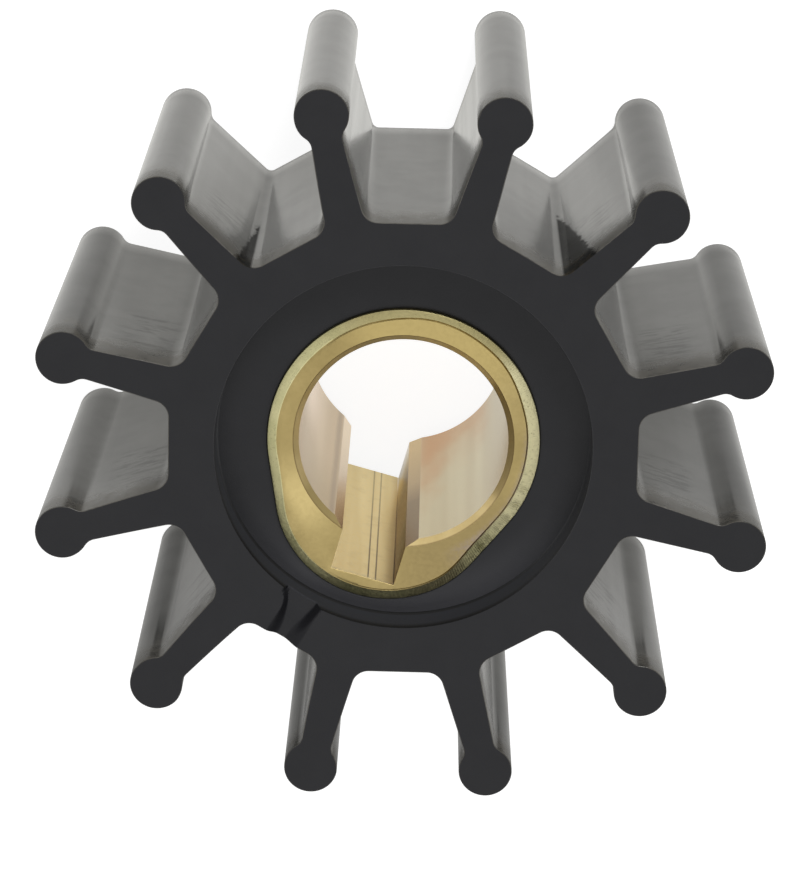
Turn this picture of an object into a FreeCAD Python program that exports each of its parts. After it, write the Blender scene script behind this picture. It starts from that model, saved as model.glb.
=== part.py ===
import FreeCAD, Part
import math
import os

import Sketcher

from FreeCAD import Placement, Rotation, Vector

# Flexible rubber pump impeller with a keyed brass insert.
# The part lies on its back end face: the bore axis is Z, the origin is on that axis in the back face,
# the first vane points along +X and the keyway along -Y. All lengths are millimetres.

SIZES = {
    # rubber body
    "overall_diameter": 57.1,
    "overall_width": 31.8,
    "vane_count": 12,
    "tip_bead_diameter": 4.1,
    "bead_neck_radius": 1.0,
    "vane_tip_thickness": 2.4,
    "vane_root_thickness": 2.94,
    "root_fillet_radius": 1.3,
    "hub_rim_wall": 3.45,
    # recess in both end faces of the hub, and the relief groove that leads out of the front one
    "recess_land": 1.3,
    "recess_depth": 3.0,
    "recess_foot_radius": 0.4,
    "relief_groove_width": 2.1,
    "relief_groove_depth": 1.0,
    "relief_groove_corner": 0.4,
    # brass insert
    "bore_diameter": 15.9,
    "bore_chamfer": 0.45,
    "insert_wall": 2.38,
    "insert_inset": 2.5,
    "insert_chamfer_width": 0.85,
    "insert_chamfer_height": 0.4,
    "lobe_radius": 8.54,
    "keyway_width": 5.0,
    "keyway_depth": 3.32,
    "keyway_wall": 1.65,
    "keyway_corner_chamfer": 0.85,
}

doc = FreeCAD.newDocument("rubber_pump_impeller")

sheet = doc.addObject("Spreadsheet::Sheet", "sizes")
for row, (name, value) in enumerate(SIZES.items(), start=1):
    sheet.set(f"A{row}", name)
    sheet.set(f"B{row}", str(value))
    sheet.setAlias(f"B{row}", name)
doc.recompute()

# Sizes that follow from the sheet
BEAD_RADIUS = "sizes.tip_bead_diameter / 2"
BEAD_CENTRE = "(sizes.overall_diameter - sizes.tip_bead_diameter) / 2"
HALF_VANE_PITCH = "180 deg / sizes.vane_count"
BORE_RADIUS = "sizes.bore_diameter / 2"
INSERT_RADIUS = f"({BORE_RADIUS} + sizes.insert_wall)"
KEYWAY_FLOOR = f"({BORE_RADIUS} + sizes.keyway_depth)"
LOBE_TIP = f"({KEYWAY_FLOOR} + sizes.keyway_wall)"
LOBE_OFFSET = f"({LOBE_TIP} - sizes.lobe_radius)"
RECESS_RADIUS = f"({LOBE_TIP} + sizes.recess_land)"
HUB_FLAT = f"({RECESS_RADIUS} + sizes.hub_rim_wall)"
KEYWAY_MOUTH = "(sizes.keyway_width / 2 + sizes.keyway_corner_chamfer)"
KEYWAY_MOUTH_HEIGHT = f"sqrt(({BORE_RADIUS})^2 - {KEYWAY_MOUTH}^2)"

# Point positions on sketch geometry, and the sketch's own origin and axes
START, END, CENTRE = 1, 2, 3
ORIGIN = (-1, 1)
X_AXIS = -1
Y_AXIS = -2


def size(rule):
    """The present value of a sheet rule, in millimetres or radians."""
    value = sheet.evalExpression(rule)
    if isinstance(value, FreeCAD.Units.Quantity):
        if value.Unit == FreeCAD.Units.Angle:
            return math.radians(value.Value)
        return value.Value
    return float(value)


def origin_plane(body, role):
    return next(item for item in body.Origin.OriginFeatures if item.Role == role)


def new_sketch(body, name, role="XY_Plane"):
    sketch = body.newObject("Sketcher::SketchObject", name)
    sketch.AttachmentSupport = [(origin_plane(body, role), "")]
    sketch.MapMode = "FlatFace"
    return sketch


def polar(radius, angle):
    return Vector(radius * math.cos(angle), radius * math.sin(angle), 0)


def add_line(sketch, start, end):
    return sketch.addGeometry(Part.LineSegment(start, end))


def add_arc(sketch, centre, radius, start_angle, end_angle):
    circle = Part.Circle(centre, Vector(0, 0, 1), radius)
    return sketch.addGeometry(Part.ArcOfCircle(circle, start_angle, end_angle))


def hold(sketch, kind, *items):
    """Add a constraint that has no size."""
    sketch.addConstraint(Sketcher.Constraint(kind, *items))


def dimension(sketch, name, kind, *items, rule):
    """Add a dimension and bind it to the sheet."""
    index = sketch.addConstraint(Sketcher.Constraint(kind, *items, size(rule)))
    sketch.renameConstraint(index, name)
    sketch.setExpression(f"Constraints.{name}", rule)


def circle_sketch(body, name, rule, height=None):
    """A circle round the bore axis, in a plane at the given height."""
    sketch = new_sketch(body, name)
    if height:
        sketch.setExpression("AttachmentOffset.Base.z", height)
    circle = sketch.addGeometry(Part.Circle(Vector(), Vector(0, 0, 1), size(rule)))
    hold(sketch, "Coincident", circle, CENTRE, *ORIGIN)
    dimension(sketch, "radius", "Radius", circle, rule=rule)
    return sketch


def pad(body, name, sketch, length):
    feature = body.newObject("PartDesign::Pad", name)
    feature.Profile = sketch
    feature.setExpression("Length", length)
    return feature


def pocket(body, name, sketch, length=None, reverse=False):
    """A pocket of the given length, or through everything."""
    feature = body.newObject("PartDesign::Pocket", name)
    feature.Profile = sketch
    feature.Reversed = reverse
    if length:
        feature.setExpression("Length", length)
    else:
        feature.Type = "ThroughAll"
    return feature


def dress_edges(body, kind, name, base, wanted, rule, second_rule=None):
    """A fillet or chamfer on the edges of the base feature that pass the test."""
    doc.recompute()
    names = [f"Edge{i}" for i, edge in enumerate(base.Shape.Edges, start=1) if wanted(edge)]
    feature = body.newObject(f"PartDesign::{kind}", name)
    feature.Base = (base, names)
    feature.setExpression("Radius" if kind == "Fillet" else "Size", rule)
    if second_rule:
        feature.ChamferType = "Two distances"
        feature.setExpression("Size2", second_rule)
    return feature


def lies_at(edge, height):
    return abs(edge.BoundBox.ZMin - height) < 1e-4 and abs(edge.BoundBox.ZMax - height) < 1e-4


def is_circle(edge, radius):
    return isinstance(edge.Curve, Part.Circle) and abs(edge.Curve.Radius - radius) < 1e-4


# Insert outline: a round body with a lobe over the keyway, drawn once for the brass and once for its seat
def insert_outline(body, name, height=None):
    sketch = new_sketch(body, name)
    if height:
        sketch.setExpression("AttachmentOffset.Base.z", height)
    main_radius = size(INSERT_RADIUS)
    lobe_radius = size("sizes.lobe_radius")
    offset = size(LOBE_OFFSET)
    down = -math.pi / 2
    spread = math.acos((main_radius - lobe_radius) / offset)
    lobe_centre = Vector(0, -offset, 0)

    main = add_arc(sketch, Vector(), main_radius, down + spread, down - spread + 2 * math.pi)
    lobe = add_arc(sketch, lobe_centre, lobe_radius, down - spread, down + spread)
    left = add_line(sketch, polar(main_radius, down - spread), lobe_centre + polar(lobe_radius, down - spread))
    right = add_line(sketch, lobe_centre + polar(lobe_radius, down + spread), polar(main_radius, down + spread))

    hold(sketch, "Coincident", main, CENTRE, *ORIGIN)
    hold(sketch, "PointOnObject", lobe, CENTRE, Y_AXIS)
    hold(sketch, "Tangent", main, END, left, START)
    hold(sketch, "Tangent", left, END, lobe, START)
    hold(sketch, "Tangent", lobe, END, right, START)
    hold(sketch, "Tangent", right, END, main, START)
    dimension(sketch, "main_radius", "Radius", main, rule=INSERT_RADIUS)
    dimension(sketch, "lobe_radius", "Radius", lobe, rule="sizes.lobe_radius")
    dimension(sketch, "lobe_offset", "DistanceY", lobe, CENTRE, *ORIGIN, rule=LOBE_OFFSET)
    return sketch


# Rubber body: one sector is half a hub flat, a tapered vane with its tip bead, and half a hub flat again
def sector_side(sketch, bead, side):
    """One flank of the vane with its neck, root fillet and half flat: side is 1 above the X axis, -1 below."""
    half_pitch = size(HALF_VANE_PITCH)
    neck_radius = size("sizes.bead_neck_radius")
    root_radius = size("sizes.root_fillet_radius")
    tip_half = size("sizes.vane_tip_thickness") / 2
    root_half = size("sizes.vane_root_thickness") / 2
    bead_reach = size(BEAD_RADIUS) + neck_radius
    neck_height = tip_half + neck_radius
    neck_x = size(BEAD_CENTRE) - math.sqrt(bead_reach**2 - neck_height**2)
    neck_angle = math.asin(neck_height / bead_reach)
    root_height = root_half + root_radius
    flat = size(HUB_FLAT)
    root_x = (flat + root_radius - root_height * math.sin(half_pitch)) / math.cos(half_pitch)
    root_centre = Vector(root_x, side * root_height, 0)
    flat_foot = root_centre - polar(root_radius, side * half_pitch)
    flat_middle = polar(flat, side * half_pitch)
    inside = polar(size(BORE_RADIUS), side * half_pitch)

    # an arc runs anticlockwise, so its first and last points swap between the two sides
    near, far = (START, END) if side > 0 else (END, START)
    neck_span = sorted((-side * math.pi / 2, -side * neck_angle))
    root_span = sorted((side * (half_pitch - math.pi), -side * math.pi / 2))

    neck = add_arc(sketch, Vector(neck_x, side * neck_height, 0), neck_radius, *neck_span)
    flank = add_line(sketch, Vector(root_x, side * root_half, 0), Vector(neck_x, side * tip_half, 0))
    root = add_arc(sketch, root_centre, root_radius, *root_span)
    half_flat = add_line(sketch, flat_middle, flat_foot)
    spoke = add_line(sketch, inside, flat_middle)

    hold(sketch, "Tangent", bead, far, neck, far)
    hold(sketch, "Tangent", neck, near, flank, END)
    hold(sketch, "Tangent", flank, START, root, far)
    hold(sketch, "Tangent", root, near, half_flat, END)
    hold(sketch, "Coincident", half_flat, START, spoke, END)
    hold(sketch, "Perpendicular", half_flat, spoke)
    hold(sketch, "PointOnObject", *ORIGIN, spoke)

    label = "upper" if side > 0 else "lower"
    dimension(sketch, f"{label}_neck", "Radius", neck, rule="sizes.bead_neck_radius")
    dimension(sketch, f"{label}_root", "Radius", root, rule="sizes.root_fillet_radius")
    dimension(sketch, f"{label}_tip", "Distance", flank, END, X_AXIS, rule="sizes.vane_tip_thickness / 2")
    dimension(sketch, f"{label}_base", "Distance", flank, START, X_AXIS, rule="sizes.vane_root_thickness / 2")
    dimension(sketch, f"{label}_flat", "Distance", *ORIGIN, spoke, END, rule=HUB_FLAT)
    dimension(sketch, f"{label}_inside", "Distance", *ORIGIN, spoke, START, rule=BORE_RADIUS)
    sign = "" if side > 0 else "-"
    dimension(sketch, f"{label}_pitch", "Angle", spoke, rule=f"{sign}{HALF_VANE_PITCH}")
    return spoke


def vane_sector(body):
    sketch = new_sketch(body, "sector_outline")
    neck_height = size("sizes.vane_tip_thickness / 2 + sizes.bead_neck_radius")
    bead_reach = size(f"{BEAD_RADIUS} + sizes.bead_neck_radius")
    bead_half_angle = math.pi - math.asin(neck_height / bead_reach)
    bead_centre = Vector(size(BEAD_CENTRE), 0, 0)
    bead = add_arc(sketch, bead_centre, size(BEAD_RADIUS), -bead_half_angle, bead_half_angle)
    hold(sketch, "PointOnObject", bead, CENTRE, X_AXIS)
    dimension(sketch, "bead_radius", "Radius", bead, rule=BEAD_RADIUS)
    dimension(sketch, "bead_centre", "DistanceX", *ORIGIN, bead, CENTRE, rule=BEAD_CENTRE)
    upper = sector_side(sketch, bead, 1)
    lower = sector_side(sketch, bead, -1)
    inner = add_line(sketch, polar(size(BORE_RADIUS), -size(HALF_VANE_PITCH)),
                     polar(size(BORE_RADIUS), size(HALF_VANE_PITCH)))
    hold(sketch, "Coincident", inner, START, lower, START)
    hold(sketch, "Coincident", inner, END, upper, START)
    return sketch


def relief_groove_outline(body):
    """A channel section in the plane through the bore axis, turned half a vane pitch from the keyway."""
    sketch = new_sketch(body, "relief_groove_outline", "XZ_Plane")
    turn = math.degrees(size(HALF_VANE_PITCH))
    sketch.AttachmentOffset = Placement(Vector(), Rotation(Vector(0, -1, 0), turn))
    sketch.setExpression("AttachmentOffset.Rotation.Angle", HALF_VANE_PITCH)
    half = size("sizes.relief_groove_width") / 2
    corner = size("sizes.relief_groove_corner")
    top = size("sizes.overall_width")
    floor = top - size("sizes.relief_groove_depth")
    quarter = math.pi / 2

    left = add_line(sketch, Vector(-half, top, 0), Vector(-half, floor + corner, 0))
    left_corner = add_arc(sketch, Vector(corner - half, floor + corner, 0), corner, 2 * quarter, 3 * quarter)
    bottom = add_line(sketch, Vector(corner - half, floor, 0), Vector(half - corner, floor, 0))
    right_corner = add_arc(sketch, Vector(half - corner, floor + corner, 0), corner, 3 * quarter, 4 * quarter)
    right = add_line(sketch, Vector(half, floor + corner, 0), Vector(half, top, 0))
    mouth = add_line(sketch, Vector(half, top, 0), Vector(-half, top, 0))

    hold(sketch, "Tangent", left, END, left_corner, START)
    hold(sketch, "Tangent", left_corner, END, bottom, START)
    hold(sketch, "Tangent", bottom, END, right_corner, START)
    hold(sketch, "Tangent", right_corner, END, right, START)
    hold(sketch, "Coincident", right, END, mouth, START)
    hold(sketch, "Coincident", mouth, END, left, START)
    hold(sketch, "Vertical", left)
    hold(sketch, "Vertical", right)
    hold(sketch, "Horizontal", bottom)
    hold(sketch, "Symmetric", left, START, right, END, Y_AXIS)
    dimension(sketch, "width", "DistanceX", left, START, right, END, rule="sizes.relief_groove_width")
    dimension(sketch, "depth", "DistanceY", bottom, START, right, END, rule="sizes.relief_groove_depth")
    dimension(sketch, "face", "DistanceY", *ORIGIN, right, END, rule="sizes.overall_width")
    dimension(sketch, "left_radius", "Radius", left_corner, rule="sizes.relief_groove_corner")
    dimension(sketch, "right_radius", "Radius", right_corner, rule="sizes.relief_groove_corner")
    return sketch


def rubber_impeller():
    body = doc.addObject("PartDesign::Body", "rubber_impeller")
    body.Label = "rubber_impeller"

    sector = pad(body, "vane_sector", vane_sector(body), "sizes.overall_width")
    vanes = body.newObject("PartDesign::PolarPattern", "vane_ring")
    vanes.Originals = [sector]
    vanes.Axis = (sector.Profile[0], ["N_Axis"])
    vanes.Angle = 360
    vanes.setExpression("Occurrences", "sizes.vane_count")
    body.Tip = vanes

    pocket(body, "insert_seat", insert_outline(body, "seat_outline"), reverse=True)
    back = circle_sketch(body, "back_recess_outline", RECESS_RADIUS)
    front = circle_sketch(body, "front_recess_outline", RECESS_RADIUS, "sizes.overall_width")
    pocket(body, "back_recess", back, "sizes.recess_depth", reverse=True)
    recess = pocket(body, "front_recess", front, "sizes.recess_depth")

    depth = size("sizes.recess_depth")
    floors = (depth, size("sizes.overall_width") - depth)
    radius = size(RECESS_RADIUS)
    dress_edges(body, "Fillet", "recess_feet", recess,
                lambda edge: is_circle(edge, radius) and any(lies_at(edge, floor) for floor in floors),
                "sizes.recess_foot_radius")

    pocket(body, "relief_groove", relief_groove_outline(body), "sizes.overall_diameter / 2", reverse=True)
    return body


# Brass insert: lobed bar, chamfered at both ends, bored and broached
def keyway_outline(body):
    """The key's slot, with a facet at each corner where the slot meets the bore."""
    sketch = new_sketch(body, "keyway_outline")
    half = size("sizes.keyway_width") / 2
    mouth = size(KEYWAY_MOUTH)
    facet = size("sizes.keyway_corner_chamfer")
    wall_foot = -size(KEYWAY_MOUTH_HEIGHT)
    floor = -size(KEYWAY_FLOOR)
    corners = [
        Vector(-half, floor, 0),
        Vector(half, floor, 0),
        Vector(half, wall_foot - facet, 0),
        Vector(mouth + facet, wall_foot + facet, 0),
        Vector(-mouth - facet, wall_foot + facet, 0),
        Vector(-half, wall_foot - facet, 0),
    ]
    lines = [add_line(sketch, a, b) for a, b in zip(corners, corners[1:] + corners[:1])]
    for line, following in zip(lines, lines[1:] + lines[:1]):
        hold(sketch, "Coincident", line, END, following, START)
    bottom, right, right_facet, top, left_facet, left = lines
    hold(sketch, "Vertical", right)
    hold(sketch, "Symmetric", bottom, START, bottom, END, Y_AXIS)
    hold(sketch, "Symmetric", right, END, left, START, Y_AXIS)
    hold(sketch, "Symmetric", top, START, top, END, Y_AXIS)
    dimension(sketch, "width", "DistanceX", bottom, START, bottom, END, rule="sizes.keyway_width")
    dimension(sketch, "floor", "DistanceY", bottom, END, *ORIGIN, rule=KEYWAY_FLOOR)
    dimension(sketch, "shoulder", "DistanceY", right, END, *ORIGIN,
              rule=f"{KEYWAY_MOUTH_HEIGHT} + sizes.keyway_corner_chamfer")
    dimension(sketch, "inside", "DistanceY", right, END, right_facet, END,
              rule="2 * sizes.keyway_corner_chamfer")
    dimension(sketch, "facet", "DistanceX", right, END, right_facet, END,
              rule="2 * sizes.keyway_corner_chamfer")
    return sketch


def brass_insert():
    body = doc.addObject("PartDesign::Body", "brass_insert")
    body.Label = "brass_insert"
    back = size("sizes.insert_inset")
    front = size("sizes.overall_width - sizes.insert_inset")
    radius = size(BORE_RADIUS)

    outline = insert_outline(body, "insert_outline", "sizes.insert_inset")
    bar = pad(body, "bar", outline, "sizes.overall_width - 2 * sizes.insert_inset")
    dress_edges(body, "Chamfer", "end_chamfers", bar,
                lambda edge: lies_at(edge, back) or lies_at(edge, front),
                "sizes.insert_chamfer_height", "sizes.insert_chamfer_width")
    bore = pocket(body, "bore", circle_sketch(body, "bore_outline", BORE_RADIUS), reverse=True)
    dress_edges(body, "Chamfer", "bore_chamfers", bore,
                lambda edge: is_circle(edge, radius), "sizes.bore_chamfer")
    pocket(body, "keyway", keyway_outline(body), reverse=True)
    return body


bodies = [rubber_impeller(), brass_insert()]
doc.recompute()

for item in doc.Objects:
    if "Invalid" in item.State or "Error" in item.State:
        raise RuntimeError(f"{item.Name} failed: {item.State}")

os.makedirs("parts", exist_ok=True)
for body in bodies:
    if body.Shape.isNull() or not body.Shape.isValid() or len(body.Shape.Solids) != 1:
        raise RuntimeError(f"{body.Label} isn't one sound solid")
    body.Shape.exportStep(f"parts/{body.Label}.step")
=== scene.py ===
import math
from types import SimpleNamespace

import bpy
from mathutils import Matrix, Vector, geometry, noise


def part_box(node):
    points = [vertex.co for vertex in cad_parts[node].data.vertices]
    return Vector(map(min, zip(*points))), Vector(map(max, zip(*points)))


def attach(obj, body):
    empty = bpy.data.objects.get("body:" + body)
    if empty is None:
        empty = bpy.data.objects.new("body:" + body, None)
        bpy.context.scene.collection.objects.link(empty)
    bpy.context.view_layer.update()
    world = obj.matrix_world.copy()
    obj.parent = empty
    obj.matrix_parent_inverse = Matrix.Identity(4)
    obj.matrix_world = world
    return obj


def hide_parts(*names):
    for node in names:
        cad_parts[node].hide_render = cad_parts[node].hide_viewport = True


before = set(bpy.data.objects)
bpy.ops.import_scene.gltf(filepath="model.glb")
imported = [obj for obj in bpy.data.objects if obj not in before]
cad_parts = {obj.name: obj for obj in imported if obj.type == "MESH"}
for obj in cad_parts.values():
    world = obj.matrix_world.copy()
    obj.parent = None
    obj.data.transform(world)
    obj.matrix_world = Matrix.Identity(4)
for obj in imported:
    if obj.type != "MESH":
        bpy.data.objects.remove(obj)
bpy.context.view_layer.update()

# Lengths are millimetres until a mesh is made
MM = 0.001


def mm(values):
    return [value / MM for value in values]


# The frame's own sizes
rubber_high = mm(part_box("rubber_impeller")[1])
brass_low, brass_high = (mm(corner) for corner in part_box("brass_insert"))
WIDTH = rubber_high[2]
OUTER_RADIUS = rubber_high[0]
INSET = brass_low[2]
INSERT_RADIUS = brass_high[0]
LOBE_TIP = -brass_low[1]

# Directions in the plane of the end faces
DOWN = -math.pi / 2
PHOTO_UP = math.radians(105)
PHOTO_RIGHT = PHOTO_UP - math.pi / 2

# Sizes of the rubber's profile
VANES = 12
PITCH = 2 * math.pi / VANES
HUB_FLAT = 17.67
BEAD_RADIUS = 2.05
BEAD_CENTRE = OUTER_RADIUS - BEAD_RADIUS
NECK_RADIUS = 1.0
TIP_HALF = 1.2
ROOT_HALF = 1.47
ROOT_RADIUS = 1.3
BACK_ROOT_RADIUS = 0.6

# Sizes of the rubber's ends
RIM_ROUND = 0.06
RECESS_RADIUS = 14.22
RECESS_DEPTH = 3.0
RECESS_FLOOR = WIDTH - RECESS_DEPTH
RECESS_FOOT = 0.15
RECESS_SHIFT = 0.19
SEAT_EDGE = ((0.1, 0.0), (0.03, 0.03), (0.0, 0.1), (0.0, 1.0))
GROOVE_DEGREES = 255
GROOVE_ANGLE = math.radians(GROOVE_DEGREES)
GROOVE_DEPTH = 1.0
GROOVE_LEFT, GROOVE_RIGHT = 1.25, 1.1
GROOVE_END = 3.2
GROOVE_WALL = 2.0
FLARE_LENGTH = 0.6

# Steps of the rubber's mesh
TILT_ROUNDS = 8
BEAD_STEPS, NECK_STEPS, FLANK_STEPS, ROOT_STEPS, HUB_STEPS = 20, 8, 10, 10, 20
ROUND_STEPS = 4
WALL_STEPS = 12
GROOVE_SPREAD = 10
GROOVE_FINENESS = 4
GRID_START = RECESS_RADIUS + RIM_ROUND + 0.03
GRID_ALONG, GRID_ACROSS = 0.145, 0.08
GRID_ROWS, GRID_SIDE = 21, 30
SLOPE_STEP = 0.02

# Sizes of the brass
FRONT = WIDTH - INSET
BORE_RADIUS = 7.95
BORE_CHAMFER = 0.45
BACK_CHAMFER = 0.85
EDGE_BREAK = 0.02
FOOT_LOW, FOOT_HIGH = 0.07, 0.01
LINE_OUT, LINE_IN, LINE_LEVEL = 0.06, 0.07, 0.02
LOBE_RADIUS = 8.54
LOBE_OFFSET = LOBE_TIP - LOBE_RADIUS
KEYWAY_HALF = 2.5
KEYWAY_FLOOR = 11.27
KEYWAY_FACET = 0.85
KEYWAY_LINES = (0.45, 1.05)
MOUTH = KEYWAY_HALF + KEYWAY_FACET
MOUTH_HEIGHT = math.sqrt(BORE_RADIUS**2 - MOUTH**2)
COLUMNS = 1440
RIB_COLUMNS = 4
RIB_MEAN, RIB_SPREAD, RIB_WAVES = 0.75, 0.9, 14
BORE_STEPS = 4

# Material numbers of the rubber body and of the brass bush
END, SIDE, WALL = range(3)
FACE, CHAMFER, LIP, BORE, KEYWAY = range(5)

# Stretches of a texture
EVEN = (1, 1, 1)
DRAWN = (1, 1, 0.02)

WHITE = (1.0, 1.0, 1.0)


def smooth(low, high, value):
    """0 below low, 1 above high, smooth between."""
    t = min(max((value - low) / (high - low), 0.0), 1.0)
    return t * t * (3 - 2 * t)


def polar(radius, angle):
    return Vector((radius * math.cos(angle), radius * math.sin(angle)))


def wrap(angle):
    """An angle between -pi and pi."""
    return (angle + math.pi) % (2 * math.pi) - math.pi


def link(holder):
    bpy.context.scene.collection.objects.link(holder)
    return holder


def build(name, verts, faces, materials, node, indices, normals=None, sharp=None):
    """One shown piece, riding on the root body in place of a CAD node."""
    mesh = bpy.data.meshes.new(name)
    mesh.from_pydata([Vector(v) * MM for v in verts], [], faces)
    for material in materials:
        mesh.materials.append(material)
    mesh.polygons.foreach_set("material_index", indices)
    mesh.polygons.foreach_set("use_smooth", [True] * len(mesh.polygons))
    mesh.update()
    if sharp:
        mesh.set_sharp_from_angle(angle=math.radians(sharp))
    if normals:
        own = [Vector(n.vector) for n in mesh.vertex_normals]
        mesh.normals_split_custom_set_from_vertices(
            [normals.get(i, own[i]) for i in range(len(verts))])
    piece = link(bpy.data.objects.new(name, mesh))
    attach(piece, "root")
    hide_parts(node)


# Nodes of a material

def new_material(name):
    material = bpy.data.materials.new(name)
    material.use_nodes = True
    tree = material.node_tree
    shader = tree.nodes["Principled BSDF"]
    return material, tree, shader


def set_or_link(tree, socket, value):
    if isinstance(value, bpy.types.NodeSocket):
        tree.links.new(value, socket)
    else:
        socket.default_value = value


def add(tree, kind, inputs=(), **settings):
    node = tree.nodes.new(kind)
    for key, value in settings.items():
        setattr(node, key, value)
    for key, value in dict(inputs).items():
        set_or_link(tree, node.inputs[key], value)
    return node


def place(tree, stretch):
    """Object coordinates in millimetres, stretched."""
    coords = add(tree, "ShaderNodeTexCoord")
    mapping = add(tree, "ShaderNodeMapping", {"Vector": coords.outputs["Object"]})
    mapping.inputs["Scale"].default_value = [s / MM for s in stretch]
    return mapping.outputs["Vector"]


def noise_of(tree, stretch, scale, detail, roughness):
    node = add(tree, "ShaderNodeTexNoise", {"Vector": place(tree, stretch), "Scale": scale,
                                            "Detail": detail, "Roughness": roughness})
    return node.outputs["Fac"]


def ramp_of(tree, fac, *stops):
    """A ramp of (position, grey or colour) stops."""
    node = add(tree, "ShaderNodeValToRGB", {"Fac": fac})
    ramp = node.color_ramp
    while len(ramp.elements) < len(stops):
        ramp.elements.new(0.5)
    for element, (position, value) in zip(ramp.elements, stops):
        element.position = position
        colour = (value,) * 3 if isinstance(value, (int, float)) else value
        element.color = (*colour, 1.0)
    return node.outputs["Color"]


def mix_colour(tree, fac, first, second, blend="MIX"):
    node = add(tree, "ShaderNodeMix", data_type="RGBA", blend_type=blend)
    fac_socket, first_socket, second_socket = (node.inputs[i] for i in (0, 6, 7))
    set_or_link(tree, fac_socket, fac)
    for socket, value in ((first_socket, first), (second_socket, second)):
        colour = (*value, 1.0) if isinstance(value, tuple) else value
        set_or_link(tree, socket, colour)
    return node.outputs[2]


def math_of(tree, operation, first, second=0.0):
    node = add(tree, "ShaderNodeMath", operation=operation)
    set_or_link(tree, node.inputs[0], first)
    set_or_link(tree, node.inputs[1], second)
    return node.outputs[0]


def size_of(tree, value):
    return math_of(tree, "ABSOLUTE", value)


def sum_of(tree, first, second):
    return math_of(tree, "ADD", first, second)


def difference_of(tree, first, second):
    return math_of(tree, "SUBTRACT", first, second)


def product_of(tree, *values):
    result = values[0]
    for value in values[1:]:
        result = math_of(tree, "MULTIPLY", result, value)
    return result


def bump_of(tree, height, strength, distance):
    node = add(tree, "ShaderNodeBump", {"Height": height, "Strength": strength,
                                        "Distance": distance * MM})
    return node.outputs["Normal"]


def spread_of(tree, value, low, high, start=0.0, end=1.0):
    """start where value is under low, end over high, smooth between."""
    node = add(tree, "ShaderNodeMapRange", {"Value": value, "From Min": low, "From Max": high,
                                            "To Min": start, "To Max": end},
               interpolation_type="SMOOTHSTEP")
    return node.outputs["Result"]


def fall_of(tree, value, low, high):
    """1 where value is under low, 0 over high, smooth between."""
    return spread_of(tree, value, low, high, 1.0, 0.0)


def spread_linear(tree, value, low, high):
    """0 where value is under low, 1 over high, straight between."""
    node = add(tree, "ShaderNodeMapRange", {"Value": value, "From Min": low, "From Max": high})
    return node.outputs["Result"]


def window_of(tree, value, low, high, soft):
    """1 between low and high, 0 outside, over a soft border."""
    rise = spread_of(tree, value, low - soft, low + soft)
    return product_of(tree, rise, fall_of(tree, value, high - soft, high + soft))


def factor_of(tree, mask, factor):
    """1 where mask is 0, factor where it is 1."""
    return spread_of(tree, mask, 0.0, 1.0, 1.0, factor)


def cylinder_of(tree):
    """A point's radius in mm, turn in degrees from the keyway towards +x, and x, y and z in mm."""
    split = add(tree, "ShaderNodeSeparateXYZ", {"Vector": place(tree, EVEN)})
    x, y, z = (split.outputs[axis] for axis in "XYZ")
    square = sum_of(tree, product_of(tree, x, x), product_of(tree, y, y))
    angle = math_of(tree, "ARCTAN2", x, product_of(tree, y, -1.0))
    return SimpleNamespace(radius=math_of(tree, "SQRT", square),
                           turn=product_of(tree, angle, math.degrees(1)), x=x, y=y, z=z)


def along_of(tree, x, y, angle):
    """How far (x, y) reaches in the direction of angle."""
    return sum_of(tree, product_of(tree, x, math.cos(angle)), product_of(tree, y, math.sin(angle)))


# Materials: turn is in degrees from the keyway, colours are linear red, green and blue

def rubber_face_material():
    """Moulded black rubber of the ends: matt and even, with painted light on the recess floor round the
    keyway.
    """
    material, tree, shader = new_material("rubber_face")
    at = cylinder_of(tree)
    mottle = noise_of(tree, EVEN, 0.4, 4.0, 0.6)
    grain = noise_of(tree, EVEN, 9.0, 2.0, 0.6)
    colour = ramp_of(tree, mottle, (0.3, (0.0085, 0.0086, 0.0102)), (0.7, (0.0105, 0.0106, 0.0122)))
    # painted light: the recess floor round the keyway is lightened where shade falls on it
    on_floor = fall_of(tree, at.z, RECESS_FLOOR + 0.05, RECESS_FLOOR + 0.3)
    painted_floor_light = product_of(tree, on_floor, spread_of(tree, at.radius, 10.5, 13.5),
                       window_of(tree, at.turn, -35, 65, 25))
    colour = mix_colour(tree, painted_floor_light, colour, (0.034, 0.034, 0.038))
    tree.links.new(colour, shader.inputs["Base Color"])
    tree.links.new(bump_of(tree, grain, 0.25, 0.04), shader.inputs["Normal"])
    shader.inputs["Roughness"].default_value = 0.4
    shader.inputs["IOR"].default_value = 1.28
    return material


def recess_wall_material():
    """Wall of the recess in painted light and shade: lightened to read like the floor, with painted shade
    at its rim and its foot, and more painted light at the left and the right.
    """
    material, tree, shader = new_material("recess_wall")
    at = cylinder_of(tree)
    from_middle = size_of(tree, difference_of(tree, at.z, WIDTH / 2))
    # painted light along the wall, with painted shade at its foot and at its rim
    share = spread_linear(tree, from_middle, WIDTH / 2 - RECESS_DEPTH, WIDTH / 2)
    colour = ramp_of(tree, share, (0.0, 0.010), (0.05, 0.022), (0.12, (0.031, 0.032, 0.036)),
                     (0.72, (0.028, 0.029, 0.033)), (0.93, 0.012), (1.0, 0.006))
    # painted light: lighter at the left and the right, where less light falls
    sides = spread_of(tree, size_of(tree, at.turn), 35, 85, 0.0, 0.45)
    colour = mix_colour(tree, sides, colour, (0.075, 0.076, 0.080))
    tree.links.new(colour, shader.inputs["Base Color"])
    shader.inputs["Roughness"].default_value = 0.7
    shader.inputs["Specular IOR Level"].default_value = 0.1
    return material


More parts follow.
